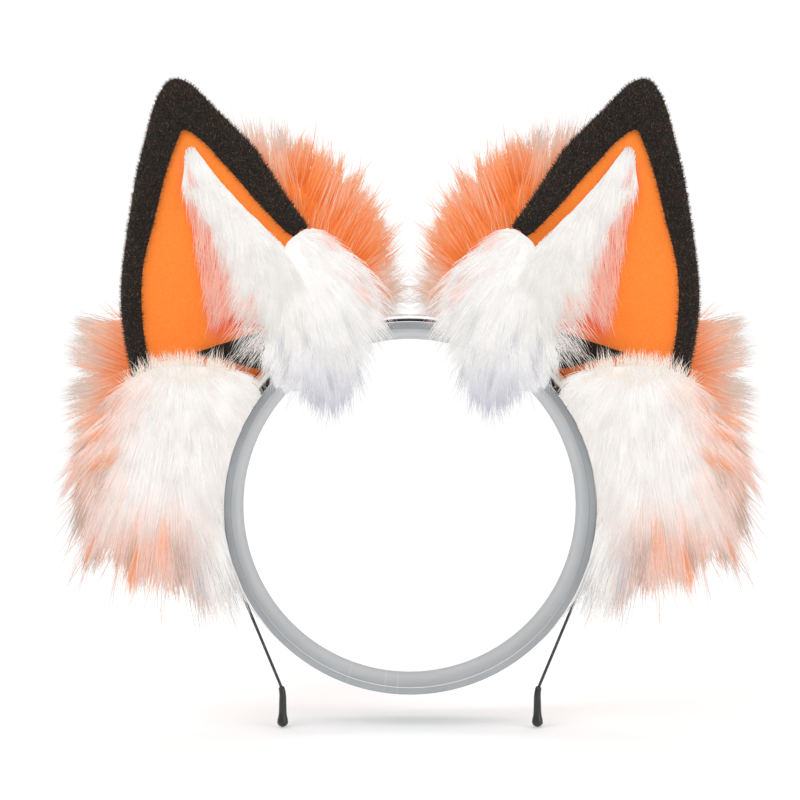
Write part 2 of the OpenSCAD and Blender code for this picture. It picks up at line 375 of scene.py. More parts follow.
ear = {
    "rootAngle": 140, "rootRadius": 70, "lean": 16, "cupRadius": 75, "cupDepth": 4,
    "leftEdge": [(-19, -12), (-33, -5), (-39.5, 5), (-41, 14), (-40.7, 23), (-39.8, 32), (-38.2, 41), (-33, 57),
                 (-26.5, 73.5), (-19, 90), (-11, 104.8), (-7.4, 109.8), (-3.4, 113.2), (-0.5, 114.4)],
    "rightEdge": [(19, 12), (26, 22), (28.5, 34), (30, 45), (29.5, 50), (27.7, 56), (25.7, 62), (22.2, 73),
                  (19.4, 82), (13.8, 93), (10, 99.4), (7, 105.2), (4, 110.6), (1.5, 113.6), (-0.5, 114.4)],
    "clearance": 74.2, "tipShare": 0.992,
}
leanSin, leanCos = math.sin(math.radians(ear["lean"])), math.cos(math.radians(ear["lean"]))
rootX = ear["rootRadius"] * math.cos(math.radians(ear["rootAngle"]))
rootZ = ear["rootRadius"] * math.sin(math.radians(ear["rootAngle"]))


def onEar(across, along, depth):
    x = rootX + across * leanCos - along * leanSin
    z = rootZ + across * leanSin + along * leanCos
    y = ear["cupDepth"] - ear["cupRadius"] + np.sqrt((ear["cupRadius"] + depth) ** 2 - across**2)
    far = np.hypot(x, z)
    push = np.maximum(ear["clearance"] / np.maximum(far, 1e-6), 1)
    return np.stack([x * push, y, z * push], axis=-1)


def earOf(x, z):  # across and along of a point seen from the front
    dx, dz = x - rootX, z - rootZ
    return dx * leanCos + dz * leanSin, -dx * leanSin + dz * leanCos


leftEdge = smoothLine(ear["leftEdge"], 240)
rightEdge = smoothLine(ear["rightEdge"], 240)


def earSheet(name, columns, rows, inset, depthAt):
    def place(u, v):
        left, right = (alongLine(line, v * ear["tipShare"]) for line in (leftEdge, rightEdge))
        width = np.linalg.norm(right - left, axis=1)
        share = np.minimum(inset / np.maximum(width, 1e-6), 0.45)
        u = share + u * (1 - 2 * share)
        p = left * (1 - u[:, None]) + right * u[:, None]
        return onEar(p[:, 0], p[:, 1] - inset * 0.5, depthAt(u, v, width)) * mm
    return addSheet(name, columns, rows, place)


def paint(piece, colours):  # the tint that some materials read
    attribute = piece.data.color_attributes.new("hairTint", "FLOAT_COLOR", "POINT")
    attribute.data.foreach_set("color", np.hstack([colours, np.ones((len(colours), 1))]).astype(np.float32).ravel())


white, cream, greyTip = shade(253, 251, 249), shade(252, 249, 243), shade(216, 206, 200)
coral, orangeCoat = shade(255, 108, 78), shade(255, 140, 62)

tuft = {
    "left": [(9, 14), (9.5, 25), (8, 35), (5, 46), (1.8, 57), (-2, 68.5), (-5.2, 78), (-5.6, 84), (-3.4, 91)],
    "right": [(13, 13), (21, 24.5), (24.5, 38), (22, 46.5), (17, 55), (11, 66), (5.8, 77), (3, 84), (0.6, 91)],
    "fringe": [(-13.5, 20), (-9.5, 37), (-7.5, 51), (-8, 64), (-8, 83), (-6, 89)],
}
tuftLeft, tuftRight, fringeEdge = (smoothLine(tuft[k], 120) for k in ("left", "right", "fringe"))


def sideOf(line, across, along):  # how far to the right of an upright line a point lies
    order = np.argsort(line[:, 1])
    return across - np.interp(along, line[order, 1], line[order, 0])


lining = {"columns": 60, "rows": 110, "inset": 0.8, "thickness": 0.9, "softEdge": 3.0,
          "plush": shade(255, 131, 34)}
earLining = earSheet("earLining_left", lining["columns"], lining["rows"], lining["inset"],
                     lambda u, v, w: 0.05 + 0 * u)
finishSheet(earLining, lining["thickness"], 0, orangePlush, "plush_orange")
co = readPoints(earLining) / mm
across, along = earOf(co[:, 0], co[:, 2])
blush = ease(-lining["softEdge"], lining["softEdge"], sideOf(fringeEdge, across, along))
blush = blush * ease(14, 26, along) * ease(94, 70, along)
blush = (blush * ease(-5, -11, sideOf(tuftRight, across, along)))[:, None]
paint(earLining, lining["plush"] * (1 - blush) + coral * blush)

back = {"columns": 30, "rows": 64, "inset": 0.6, "thickness": 1.1, "wrap": 3.6, "depth": 4.6, "fold": 2.2}


def backDepth(u, v, width):  # the back wraps forwards at its edges
    nearEdge = 1 - np.minimum(np.minimum(u, 1 - u) * width / back["fold"], 1)
    return back["depth"] - back["wrap"] * ease(0, 1, nearEdge) * ease(0.12, 0.2, v)


earBack = earSheet("earBack_left", back["columns"], back["rows"], back["inset"], backDepth)
finishSheet(earBack, back["thickness"], 0, blackPlush, "plush_black")

rim = {
    "outer": [(-41.8, 13), (-41.3, 23), (-40.3, 32), (-38.8, 41), (-36.5, 49), (-33.5, 57), (-30.3, 65.5),
              (-27, 73.5), (-23.4, 82), (-19.4, 90), (-15, 98.2), (-11, 105.6), (-7.5, 110.6), (-4, 114),
              (-1.8, 115), (0.2, 115), (2.3, 113.6), (4.5, 111), (7.5, 105.6), (10.6, 99.6), (14.4, 93), (20, 82),
              (22.8, 73), (26.3, 62), (28.3, 56), (30.5, 49.4)],
    "inner": [(-37, 15.4), (-36.5, 22), (-35.4, 30.5), (-33.6, 39.5), (-31.3, 47.6), (-28, 55.6), (-23.6, 63.6),
              (-19, 72), (-14.8, 80), (-10, 87.5), (-5.6, 93.6), (-2.6, 96.6), (0.2, 95), (3, 91.4), (6, 86.6),
              (8, 82), (10.6, 77), (13.2, 71.6), (15.7, 65.8), (18.3, 60.6), (21.2, 55.2), (24, 50.2), (26.4, 47.4)],
    "columns": 9, "rows": 170, "crown": 1.0, "thickness": 1.1,
}
rimOuter, rimInner = smoothLine(rim["outer"], 300), smoothLine(rim["inner"], 300)


def matchTip(line):  # shares along a line, stretched so that 0.5 is its highest point
    tip = np.argmax(line[:, 1]) / (len(line) - 1)
    return lambda v: np.where(v < 0.5, v * 2 * tip, tip + (v - 0.5) * 2 * (1 - tip))


outerShare, innerShare = matchTip(rimOuter), matchTip(rimInner)


def placeRim(u, v):
    p = alongLine(rimInner, innerShare(v)) * (1 - u[:, None]) + alongLine(rimOuter, outerShare(v)) * u[:, None]
    swell = rim["crown"] * np.sin(np.pi * np.clip(u, 0.02, 0.98)) ** 0.5
    return onEar(p[:, 0], p[:, 1], -0.5 - swell + 1.5 * ease(0.8, 1, u)) * mm


earRim = addSheet("earRim_left", rim["columns"], rim["rows"], placeRim)
finishSheet(earRim, rim["thickness"], -1, blackPlush, "plush_black")

edgeBand = {"columns": 8, "rows": 170, "front": -0.9, "rear": 5.7, "inset": -0.9 + 0.5, "bulge": 1.0,
            "thickness": 0.7}
outlineWay = unit(np.gradient(rimOuter, axis=0))
outlineOut = np.stack([-outlineWay[:, 1], outlineWay[:, 0]], axis=1)  # points away from the ear


def placeEdge(u, v):
    p, out = alongLine(rimOuter, v), alongLine(outlineOut, v)
    p = p + out * (edgeBand["inset"] + edgeBand["bulge"] * np.sin(np.pi * u) ** 0.6)[:, None]
    return onEar(p[:, 0], p[:, 1], edgeBand["front"] + (edgeBand["rear"] - edgeBand["front"]) * u) * mm


earEdge = addSheet("earEdge_left", edgeBand["columns"], edgeBand["rows"], placeEdge)
finishSheet(earEdge, edgeBand["thickness"], 0, blackPlush, "plush_black")

spot = {"columns": 26, "rows": 14, "tip": (-19.6, 16.6), "high": (5, 17.4), "low": (5, 2), "lift": 1.2,
        "depth": -4.5, "start": -0.3, "thickness": 0.6}


def placeSpot(u, v):
    tip, high, low = (np.array(spot[k]) for k in ("tip", "high", "low"))
    base = low * (1 - v[:, None]) + high * v[:, None]
    p = tip + (base - tip) * (0.02 + 0.98 * u[:, None])
    lift = spot["lift"] * np.sin(np.pi * np.clip(v, 0.05, 0.95)) ** 0.5
    return onEar(p[:, 0], p[:, 1], -lift + spot["start"] + (spot["depth"] - spot["start"]) * ease(0, 0.35, u)) * mm


earSpot = addSheet("earSpot_left", spot["columns"], spot["rows"], placeSpot)
finishSheet(earSpot, spot["thickness"], 0, blackPlush, "plush_black")
print("ear shells made")


# Pads under the long fur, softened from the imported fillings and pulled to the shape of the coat

def softPad(name, node, voxel, rounds, grow):
    pad = addCopy(nodes[node], name)
    mergeAndTurnOut(pad)
    finishWith(pad, "REMESH", mode="VOXEL", voxel_size=voxel * mm)
    finishWith(pad, "SMOOTH", factor=0.5, iterations=rounds)
    finishWith(pad, "DISPLACE", strength=grow * mm, mid_level=0)
    smoothShade(pad)
    return pad


def shapeCheek(p):  # higher at the top, shorter at the bottom
    p[:, 2] = np.where(p[:, 2] > 25, p[:, 2] + (p[:, 2] - 25) * 0.2, p[:, 2])
    p[:, 2] += 3.6 * np.exp(-(((p[:, 0] + 83) / 9) ** 2)) * ease(30, 42, p[:, 2])
    p[:, 0] += 6 * ease(10, -10, p[:, 2]) * ease(-88, -76, p[:, 0])
    corner = ease(-86, -70, p[:, 0]) * ease(12, 32, p[:, 2])
    p += (corner * 8)[:, None] * np.array([0.8, 0, 0.6])
    p[:, 1] = np.where((corner > 0.3) & (p[:, 1] > -6.8), -6.8, p[:, 1])
    p[:, 2] = np.where(p[:, 2] < -4, -4 + (p[:, 2] + 4) * 0.55, p[:, 2])
    return p


def shapeCrown(p):  # flatter, with its top laid back on the ear
    p[:, 1] = np.where(p[:, 1] < -9, -9 + (p[:, 1] + 9) * 0.75, p[:, 1])
    top = ease(74, 98, p[:, 2])
    p[:, 1] += top * 7
    p[:, 0] -= top * 2.5
    p[:, 2] = np.where(p[:, 2] < 50, 50 + (p[:, 2] - 50) * 0.7, p[:, 2])
    edge = ease(10, 0, hemOf(p))
    p += (edge * 2.2)[:, None] * np.array([0.77, 0, 0.64])
    p[:, 1] += 5 * ease(-34, -47, p[:, 0]) * ease(50, 62, p[:, 2])
    p += (ease(86, 101, p[:, 2]) * ease(-22, -34, p[:, 0]))[:, None] * np.array([-2.5, 1.5, 3.2])
    return p


def shapeBack(p):  # drawn in at the outer side
    p[:, 0] = np.where(p[:, 0] < -88, -88 + (p[:, 0] + 88) * 0.62, p[:, 0])
    high = ease(58, 90, p[:, 2]) * ease(-70, -84, p[:, 0])
    p[:, 0] += high * 9
    return p


pads = {
    "cheekPad": {"node": "cheek_stuffing_left", "voxel": 1.8, "rounds": 6, "grow": 1.2, "tint": white,
                 "shape": shapeCheek},
    "crownPad": {"node": "crown_stuffing_left", "voxel": 1.8, "rounds": 6, "grow": 1.2, "tint": white,
                 "shape": shapeCrown},
    "backPad": {"node": "back_stuffing_left", "voxel": 2.6, "rounds": 8, "grow": 1.2, "tint": orangeCoat,
                "shape": shapeBack},
}
made = {}
for name, p in pads.items():
    pad = softPad(name + "_left", p["node"], p["voxel"], p["rounds"], p["grow"])
    writePoints(pad, p["shape"](readPoints(pad) / mm) * mm)
    paint(pad, np.tile(p["tint"], (len(pad.data.vertices), 1)))
    dress(pad, coatBase, "filling")
    made[name] = pad
print("pads made:", {name: len(pad.data.polygons) for name, pad in made.items()})


# Hair

def rootsOn(piece, count, rng, keep):  # points spread evenly over a surface, with its normals
    mesh = piece.data
    mesh.calc_loop_triangles()
    corner = np.empty(len(mesh.loop_triangles) * 3, int)
    mesh.loop_triangles.foreach_get("vertices", corner)
    corner = corner.reshape(-1, 3)
    co = readPoints(piece) / mm
    normal = np.empty(len(mesh.vertices) * 3)
    mesh.vertices.foreach_get("normal", normal)
    normal = normal.reshape(-1, 3)
    a, b, c = (co[corner[:, k]] for k in range(3))
    area = np.linalg.norm(np.cross(b - a, c - a), axis=1)
    found, facing, total = [], [], 0
    while total < count and len(found) < 40:
        face = rng.choice(len(corner), size=count * 2, p=area / area.sum())
        r1, r2 = np.sqrt(rng.random(count * 2)), rng.random(count * 2)
        w = np.stack([1 - r1, r1 * (1 - r2), r1 * r2], axis=1)
        points = (w[:, :, None] * co[corner[face]]).sum(1)
        normals = unit((w[:, :, None] * normal[corner[face]]).sum(1))
        good = rng.random(count * 2) < keep(points, normals)
        found.append(points[good])
        facing.append(normals[good])
        total += good.sum()
    return np.vstack(found)[:count], np.vstack(facing)[:count]


def awayFrom(points, centre, forward):  # direction away from a point as seen from the front
    flat = np.stack([points[:, 0] - centre[0], 0 * points[:, 0], points[:, 2] - centre[1]], axis=1)
    flat = unit(flat)
    flat[:, 1] = forward
    return unit(flat)


def combHair(hair, roots, normals, flow, rng, reach=1.0, lift=None):  # paths of the hairs, root to tip
    count = len(roots)
    t = np.array(hair.get("steps", (0, 0.3, 0.65, 1.0)))
    lockTotal = max(hair["locks"], 2)
    lead = rng.choice(count, size=lockTotal, replace=False)
    tree = KDTree(lockTotal)
    for i, k in enumerate(lead):
        tree.insert(roots[k], i)
    tree.balance()
    lock = np.array([tree.find(p)[1] for p in roots])
    stray = rng.random(count) < hair["stray"]
    shake = rng.normal(size=(count, 3)) * np.where(stray, 2.2, 1.0)[:, None]
    lockShake = rng.normal(size=(lockTotal, 3))
    lockLength = rng.uniform(1 - hair["uneven"], 1 + hair["uneven"], lockTotal)
    length = rng.uniform(*hair["length"], count) * lockLength[lock] * reach * np.where(stray, 1.12, 1)
    lift = np.broadcast_to(hair["lift"] if lift is None else lift, count)[:, None]
    begin = unit(normals * lift + flow * (1 - lift) + shake * hair["shake"] * 0.5)
    finish = unit(flow + lockShake[lock] * hair["lockShake"] + shake * hair["shake"] - np.array([0, 0, hair["sag"]]))
    path = roots[:, None] + length[:, None, None] * (
        begin[:, None] * (t - t * t / 2)[None, :, None] + finish[:, None] * (t * t / 2)[None, :, None]
    )
    leader = lead[lock]
    spread = (roots - roots[leader])[:, None] * (1 - hair["gather"] * t**1.3)[None, :, None]
    share = length / length[leader]
    together = roots[leader][:, None] + (path[leader] - roots[leader][:, None]) * share[:, None, None] + spread
    hold = np.where(stray, 0.15, hair["hold"])[:, None, None]
    path = path * (1 - hold) + together * hold
    bow = unit(np.cross(finish, rng.normal(size=(count, 3))))
    path += bow[:, None] * (hair["bow"] * length)[:, None, None] * np.sin(np.pi * t)[None, :, None]
    path[:, 0] = roots
    return path, t, lock, stray


def trim(path, lock, stray, rng, centre, outline):  # shortens hair to a ragged outline: (degrees, distance) pairs
    angles, radii = np.array(sorted((angle % 360, distance) for angle, distance in outline), float).T
    tip = path[:, -1, [0, 2]] - np.array(centre)
    root = path[:, 0, [0, 2]] - np.array(centre)
    turn = np.degrees(np.arctan2(tip[:, 1], tip[:, 0])) % 360
    ragged = rng.uniform(0.9, 1.06, lock.max() + 1)[lock] * rng.uniform(0.93, 1.03, len(path))
    limit = np.interp(turn, angles, radii, period=360) * (ragged * np.where(stray, 1.16, 1))
    near, far = np.linalg.norm(root, axis=1), np.linalg.norm(tip, axis=1)
    share = np.where(far > limit, (limit - near) / np.maximum(far - near, 0.5), 1)
    share = np.clip(share, 0.12, 1)
    return path[:, :1] + (path - path[:, :1]) * share[:, None, None]


room = {"side": (125, 130), "front": (-40, -37), "rear": (39, 43.5)}  # how far hair may reach


def keepInside(path, rng):
    share = np.ones(len(path))
    for axis, (near, far) in ((0, (-room["side"][1], -room["side"][0])), (1, room["front"])):
        limit = rng.uniform(near, far, len(path))
        root, tip = path[:, 0, axis], path[:, :, axis].min(axis=1)
        share = np.minimum(share, np.where(tip < limit, (limit - root) / np.minimum(tip - root, -0.01), 1))
    limit = rng.uniform(*room["rear"], len(path))
    root, tip = path[:, 0, 1], path[:, :, 1].max(axis=1)
    share = np.minimum(share, np.where(tip > limit, (limit - root) / np.maximum(tip - root, 0.01), 1))
    return path[:, :1] + (path - path[:, :1]) * np.clip(share, 0.05, 1)[:, None, None]


def tintHair(path, t, lock, rng, inner, outer, mask, vary, accents=()):
    stops = np.linspace(0, 1, len(inner))
    a = np.stack([np.interp(t, stops, np.array(inner)[:, k]) for k in range(3)], axis=1)
    b = np.stack([np.interp(t, stops, np.array(outer)[:, k]) for k in range(3)], axis=1)
    m = np.clip(mask, 0, 1)[:, None, None]
    colour = a[None] * (1 - m) + b[None] * m
    for tone, chance, where in accents:  # whole locks, and a few single hairs, in another tone towards the tip
        picked = (rng.random(lock.max() + 1)[lock] < chance) | (rng.random(len(path)) < chance * 0.5)
        amount = (picked * np.clip(where, 0, 1))[:, None, None] * ease(0.15, 0.8, t)[None, :, None]
        colour = colour * (1 - amount) + tone * amount
    lockTone = rng.uniform(1 - vary, 1, lock.max() + 1)[lock]
    own = rng.uniform(1 - vary, 1, len(path))
    return np.clip(colour * (lockTone * own)[:, None, None], 0, 1)


def buildHair(name, path, width, colour, material, slot):  # each hair is a closed three-sided blade with a fine tip
    path = keepInside(path, np.random.default_rng(len(path)))
    count, steps, _ = path.shape
    rings = steps - 1
    along = unit(np.gradient(path, axis=1))
    side = unit(np.cross(along, np.array([0.31, 0.9, 0.2])))
    other = np.cross(along, side)
    taper = np.interp(np.linspace(0, 1, steps), [0, 0.35, 0.7, 1], [0.85, 1, 0.72, 0.1])[:rings]
    verts = np.empty((count, rings * 3 + 1, 3))
    tints = np.empty((count, rings * 3 + 1, 3))
    for ring in range(rings):
        for corner in range(3):
            angle = corner * math.tau / 3 + 0.5
            radius = (width / 2 * taper[ring])[:, None]
            verts[:, ring * 3 + corner] = path[:, ring] + radius * (
                math.cos(angle) * side[:, ring] + math.sin(angle) * other[:, ring]
            )
            tints[:, ring * 3 + corner] = colour[:, ring]
    verts[:, -1] = path[:, -1]
    tints[:, -1] = colour[:, -1]
    faces = [(0, 2, 1)]
    for ring in range(rings - 1):
        for corner in range(3):
            p, q = ring * 3 + corner, ring * 3 + (corner + 1) % 3
            faces += [(p, q, q + 3), (p, q + 3, p + 3)]
    last = (rings - 1) * 3
    faces += [(last + k, last + (k + 1) % 3, rings * 3) for k in range(3)]
    faces = np.array(faces)
    centred = verts[0] - verts[0].mean(0)
    volume = sum(np.dot(centred[f[0]], np.cross(centred[f[1]], centred[f[2]])) for f in faces)
    if volume < 0:
        faces = faces[:, ::-1]
    size = verts.shape[1]
    every = (faces[None] + (np.arange(count) * size)[:, None, None]).reshape(-1, 3)
    mesh = bpy.data.meshes.new(name)
    mesh.vertices.add(count * size)
    mesh.vertices.foreach_set("co", (verts * mm).ravel())
    mesh.loops.add(len(every) * 3)
    mesh.loops.foreach_set("vertex_index", every.ravel())
    mesh.polygons.add(len(every))
    mesh.polygons.foreach_set("loop_start", np.arange(len(every)) * 3)
    mesh.polygons.foreach_set("loop_total", np.full(len(every), 3))
    mesh.polygons.foreach_set("use_smooth", np.ones(len(every), bool))
    mesh.update(calc_edges=True)
    piece = bpy.data.objects.new(name, mesh)
    bpy.context.scene.collection.objects.link(piece)
    paint(piece, tints.reshape(-1, 3))
    dress(piece, material, slot)
    return piece


# radii that hair keeps clear of, the eye they are seen from, and the plane that hair before the hoop keeps to
hoopSpace = {"cheek": 67.3, "back": 68.5, "eye": 550, "front": 73, "plane": -4.2}


def clearOfHoop(path, near):  # keeps hair outside the hoop's rim as seen from the front
    far = np.hypot(path[:, :, 0], path[:, :, 2])
    least = near * (hoopSpace["eye"] + path[:, :, 1]) / hoopSpace["eye"]
    push = np.maximum(least / np.maximum(far, 1e-6), 1)
    path[:, 1:, 0] *= push[:, 1:]
    path[:, 1:, 2] *= push[:, 1:]
    return path


def inFrontOfHoop(path):
    far = np.hypot(path[:, :, 0], path[:, :, 2])
    ahead = np.minimum(path[:, :, 1], hoopSpace["plane"])
    path[:, 1:, 1] = np.where(far < hoopSpace["front"], ahead, path[:, :, 1])[:, 1:]
    return path


def hangAt(angle, forward):  # hanging down, swung by the angle towards the middle
    return unit(np.stack([np.sin(angle), forward + 0 * angle, -np.cos(angle)], axis=1))


def startCoat(piece, hair, seed, keep):
    rng = np.random.default_rng(seed)
    return rng, *rootsOn(piece, hair["count"], rng, keep)


def sewCoat(name, hair, rng, path, t, lock, mask, accents=(), slot="fur_white"):  # tints the hair and makes it
    tipped = hair.get("tipped", hair["plain"])
    colour = tintHair(path, t, lock, rng, hair["plain"], tipped, mask, hair["vary"], accents)
    return buildHair(name, path, rng.uniform(*hair["width"], len(path)), colour, longHair, slot)


cheekFur = {
    "count": 12400, "centre": (-81, 66), "length": (20, 30), "lift": 0.3, "sag": 0.1, "shake": 0.09,
    "lockShake": 0.12, "locks": 420, "gather": 0.6, "hold": 0.66, "uneven": 0.16, "stray": 0.05, "bow": 0.03,
    "vary": 0.035, "width": (0.24, 0.38), "seed": 11,
    "outline": [(0, 32), (180, 30), (200, 34), (212, 40), (222, 52), (229, 65), (240, 74), (247, 86), (249.5, 92),
                (254, 82), (262, 93), (269, 95), (275, 101), (281, 108), (290, 104), (320, 70)],
    "plain": [white, white, white, white, cream],
    "tipped": [white, shade(255, 240, 234), shade(255, 218, 204), shade(252, 204, 188), shade(238, 208, 196)],
    "brown": shade(196, 172, 160), "peach": shade(255, 166, 112), "grey": shade(206, 206, 210),
}


def growCheek(hair):
    def keep(p, n):
        front = np.where(n[:, 1] > 0.5, 0.25, 0.7) * np.where(p[:, 1] > -2, 0.5, 1)
        return front * (1 + 2.2 * ease(36, 48, p[:, 2]))

    rng, roots, normals = startCoat(made["cheekPad"], hair, hair["seed"], keep)
    flow = awayFrom(roots, hair["centre"], -0.05)
    flow[:, 0] += 0.22 * ease(12, -14, roots[:, 2]) * ease(-86, -76, roots[:, 0])
    flow = unit(flow)
    reach = 0.66 + 0.4 * ease(46, 0, roots[:, 2]) + 0.3 * ease(8, -10, roots[:, 2]) * ease(-90, -78, roots[:, 0])
    lift = 0.28 + 0.1 * ease(38, 49, roots[:, 2])
    path, t, lock, stray = combHair(hair, roots, normals, flow, rng, reach, lift)
    path = trim(path, lock, stray, rng, hair["centre"], hair["outline"])
    path = clearOfHoop(path, hoopSpace["cheek"])
    tips = path[:, -1]
    left = ease(-88, -114, tips[:, 0] + (tips[:, 2] - 20) * -0.25)
    low = ease(-2, -26, tips[:, 2]) * ease(-62, -80, tips[:, 0])
    outside = np.clip(np.maximum(left, low) + rng.normal(size=len(path)) * 0.1, 0, 1)
    foot = ease(-14, -34, tips[:, 2]) * ease(-84, -72, tips[:, 0])
    accents = [(hair["brown"], 0.12, outside), (hair["peach"], 0.1, outside), (hair["grey"], 0.22, foot)]
    return sewCoat("cheekFur_left", hair, rng, path, t, lock, outside, accents)


cheekHem = {
    "count": 1100, "length": (3.5, 7.5), "lift": 0.85, "sag": 0.0, "shake": 0.3, "lockShake": 0.2, "locks": 120,
    "gather": 0.3, "hold": 0.3, "uneven": 0.3, "stray": 0.1, "bow": 0.06, "vary": 0.04,
    "width": (0.16, 0.26), "seed": 13,
    "plain": [white, cream, cream], "tipped": [cream, shade(255, 232, 214), shade(250, 214, 186)],
}


def growHem(hair):  # the short soft hairs that stand over the plush along the cheek's upper edge
    def keep(p, n):
        return (n[:, 2] > 0.15) * (p[:, 2] > 36) * (p[:, 0] > -98) * (p[:, 1] < -8) * 1.0

    rng, roots, normals = startCoat(made["cheekPad"], hair, hair["seed"], keep)
    total = len(roots)
    flow = unit(np.stack([rng.normal(size=total) * 0.4, rng.normal(size=total) * 0.2, np.ones(total)], axis=1))
    path, t, lock, stray = combHair(hair, roots, normals, flow, rng)
    path = clearOfHoop(path, hoopSpace["cheek"])
    return sewCoat("cheekHem_left", hair, rng, path, t, lock, rng.random(len(path)))


crownFur = {
    "count": 12400, "length": (15, 23), "lift": 0.26, "sag": 0.08, "shake": 0.08, "lockShake": 0.12, "locks": 380,
    "gather": 0.62, "hold": 0.64, "uneven": 0.18, "stray": 0.06, "bow": 0.03, "vary": 0.035,
    "width": (0.22, 0.34), "seed": 23,
    "centre": (-55, 95), "stopAt": -3.5,
    "outline": [(17, 19), (60, 24), (120, 30), (180, 34), (220, 38), (262, 40), (269, 38), (274, 48), (283, 53),
                (288, 66), (295, 70), (301, 64), (310, 58), (321, 57), (329, 52), (340, 42), (348, 32)],
    "plain": [white] * 5,
    # tipped and grey are painted shade: the lower hair fades to grey-lavender towards its tips
    "tipped": [white, white, shade(240, 240, 246), shade(222, 222, 232), shade(198, 198, 212)],
    "blush": shade(255, 214, 204), "grey": shade(214, 214, 218),
}


def growCrown(hair):
    def keep(p, n):
        return np.where(n[:, 1] > 0.5, 0.25, 0.7) * (1 + 2.2 * ease(9, 1, hemOf(p)))

    rng, roots, normals = startCoat(made["crownPad"], hair, hair["seed"], keep)
    below = hemOf(roots)
    flow = hangAt(np.radians(40 - 36 * ease(2, 26, below) - 30 * ease(20, 40, below)), -0.04)
    reach, lift = 1.0 - 0.25 * ease(62, 42, roots[:, 2]), 0.26 + 0.24 * ease(8, 1, below)
    path, t, lock, stray = combHair(hair, roots, normals, flow, rng, reach, lift)
    path = inFrontOfHoop(trim(path, lock, stray, rng, hair["centre"], hair["outline"]))
    path[:, :, 0] = np.minimum(path[:, :, 0], hair["stopAt"])  # keeps off the other ear's hair
    tips = path[:, -1]
    # painted shade: hair that ends low turns grey-lavender at the tip, and some low locks turn grey
    low = ease(52, 30, tips[:, 2]) + rng.normal(size=len(path)) * 0.08
    edge = ease(5, -3, hemOf(tips)) * ease(46, 66, tips[:, 2])
    accents = [(hair["blush"], 0.3, edge), (hair["grey"], 0.12, ease(70, 50, tips[:, 2]))]
    return sewCoat("crownFur_left", hair, rng, path, t, lock, low, accents)


tuftFur = {
    "count": 8050, "length": (16, 25), "lift": 0.5, "sag": 0.0, "shake": 0.08, "lockShake": 0.08, "locks": 300,
    "gather": 0.6, "hold": 0.62, "uneven": 0.16, "stray": 0.05, "bow": 0.03, "vary": 0.035,
    "width": (0.22, 0.34), "seed": 51, "inFront": 0.3, "swell": 4.2,
    "plain": [white, white, white, white, cream],
    "tipped": [shade(255, 226, 216), shade(255, 208, 194), shade(255, 214, 202), shade(255, 230, 222), cream],
    "grey": shade(214, 210, 210), "blush": shade(255, 196, 180),
}


def growTuft(hair):
    def keep(p, n):
        across, along = earOf(p[:, 0], p[:, 2])
        inside = (sideOf(tuftLeft, across, along) > 0) * (sideOf(tuftRight, across, along) < -1.3) * (n[:, 1] < 0)
        inside = inside * ((along > 24) + (across > 7) > 0)
        # thinner at its left edge, where the blush shows through
        thin = 1 - 0.55 * ease(4, 0, sideOf(tuftLeft, across, along)) * ease(84, 70, along)
        return inside * (along > 13) * (along < 90) * (0.8 - 0.15 * ease(74, 90, along)) * thin

    rng, roots, normals = startCoat(earLining, hair, hair["seed"], keep)
    across, along = earOf(roots[:, 0], roots[:, 2])
    toLeft, toRight = sideOf(tuftLeft, across, along), sideOf(tuftRight, across, along)
    middle = np.clip(toLeft / np.maximum(toLeft - toRight, 0.1), 0, 1)
    bulge = hair["swell"] * np.sin(np.pi * np.clip(middle, 0.05, 0.95)) * ease(92, 70, along)
    roots[:, 1] -= hair["inFront"] + bulge * rng.random(len(roots))
    angle = np.radians(12 + 26 * ease(0.35, 1, middle) - 26 * ease(0.6, 0, middle) * ease(75, 30, along)
                       - 12 * ease(40, 15, along) + 9 * ease(0.35, 0, middle) * rng.normal(size=len(roots)))
    # where the tuft meets the crown's coat its hair lies over it
    over = np.maximum(ease(70, 52, along) * ease(3, 12, across), ease(44, 26, along) * ease(2, 12, across))
    flow = hangAt(angle, -0.1 - 0.8 * over)
    reach = (0.7 + 0.3 * ease(88, 60, along)) * (1 - 0.45 * ease(34, 16, along) * ease(12, 2, across))
    reach *= 1 + 0.3 * over
    path, t, lock, stray = combHair(hair, roots, normals, flow, rng, reach, 0.22 + 0.3 * over)
    tipAcross, tipAlong = earOf(path[:, -1, 0], path[:, -1, 2])
    beyond = np.maximum(sideOf(tuftRight, tipAcross, tipAlong) + 1.2, 0) * (tipAlong > 44)
    beyond = beyond * ease(5, 0, hemOf(path[:, -1]))
    path[:, :, 0] -= beyond[:, None] * leanCos * t[None] ** 1.2
    path[:, :, 2] -= beyond[:, None] * leanSin * t[None] ** 1.2
    lowest = rng.uniform(19, 22.5, len(path)) - 7 * ease(1, 9, tipAcross)
    cut = np.where((tipAlong < lowest) & (across < 14), (along - lowest) / np.maximum(along - tipAlong, 0.5), 1)
    path = path[:, :1] + (path - path[:, :1]) * np.clip(cut, 0.1, 1)[:, None, None]
    path = inFrontOfHoop(path)
    fringe = ease(0.2, 0.0, middle) * ease(80, 60, along) + rng.normal(size=len(path)) * 0.06
    low = ease(24, 8, tipAlong) * ease(14, 4, tipAcross)
    accents = [(hair["grey"], 0.25, low), (hair["blush"], 0.2, ease(0.4, 0.1, middle))]
    return sewCoat("tuftFur_left", hair, rng, path, t, lock, fringe, accents)


fringeFur = {
    "count": 900, "length": (11, 19), "lift": 0.12, "sag": 0.0, "shake": 0.1, "lockShake": 0.1, "locks": 90,
    "gather": 0.4, "hold": 0.5, "uneven": 0.2, "stray": 0.1, "bow": 0.04, "vary": 0.04,
    "width": (0.2, 0.3), "seed": 63,
    "plain": [shade(255, 150, 122), shade(255, 168, 142), shade(255, 190, 170), shade(255, 206, 190)],
    "tipped": [shade(255, 214, 200)] * 4,
}


